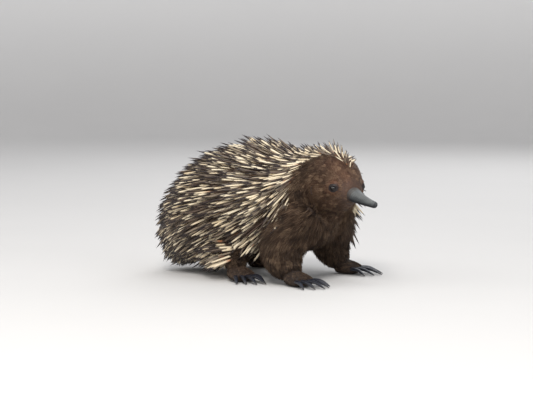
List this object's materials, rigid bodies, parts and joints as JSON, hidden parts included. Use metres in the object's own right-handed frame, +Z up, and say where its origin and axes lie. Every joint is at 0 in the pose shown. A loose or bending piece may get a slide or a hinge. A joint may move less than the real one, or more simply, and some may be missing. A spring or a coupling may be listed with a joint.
{
  "type": "short-beaked echidna",
  "caption": "Life-size still model of a standing short-beaked echidna with raised head, spiny back, furry face and legs, bare beak and long digging claws.",
  "frame": {"origin": "on the floor, under the middle of the whole animal's box", "axes": "+X the way the body faces, +Y the animal's left, +Z up"},
  "size_m": [0.4378, 0.2656, 0.2242],
  "materials": {
    "spines": "smooth cream quills with dark brown tips over dark brown fur",
    "fur": "coarse dark brown fur",
    "beak_skin": "bare slate grey skin with fine cross wrinkles",
    "claw_horn": "smooth black horn, slightly worn at the tips",
    "eyeball": "wet black eye"
  },
  "bodies": {
    "root": {"beak": "beak_skin", "claw_front_left_1": "claw_horn", "claw_front_left_2": "claw_horn", "claw_front_left_3": "claw_horn", "claw_front_left_4": "claw_horn", "claw_front_left_5": "claw_horn", "claw_front_right_1": "claw_horn", "claw_front_right_2": "claw_horn", "claw_front_right_3": "claw_horn", "claw_front_right_4": "claw_horn", "claw_front_right_5": "claw_horn", "claw_hind_left_1": "claw_horn", "claw_hind_left_2": "claw_horn", "claw_hind_left_3": "claw_horn", "claw_hind_left_4": "claw_horn", "claw_hind_left_5": "claw_horn", "claw_hind_right_1": "claw_horn", "claw_hind_right_2": "claw_horn", "claw_hind_right_3": "claw_horn", "claw_hind_right_4": "claw_horn", "claw_hind_right_5": "claw_horn", "ear_left": "fur", "ear_right": "fur", "eye_left": "eyeball", "eye_right": "eyeball", "foot_front_left": "fur", "foot_front_right": "fur", "foot_hind_left": "fur", "foot_hind_right": "fur", "head": "spines", "leg_front_left": "fur", "leg_front_right": "fur", "leg_hind_left": "fur", "leg_hind_right": "fur", "neck": "spines", "tail": "spines", "torso": "spines"}
  },
  "joints": []
}
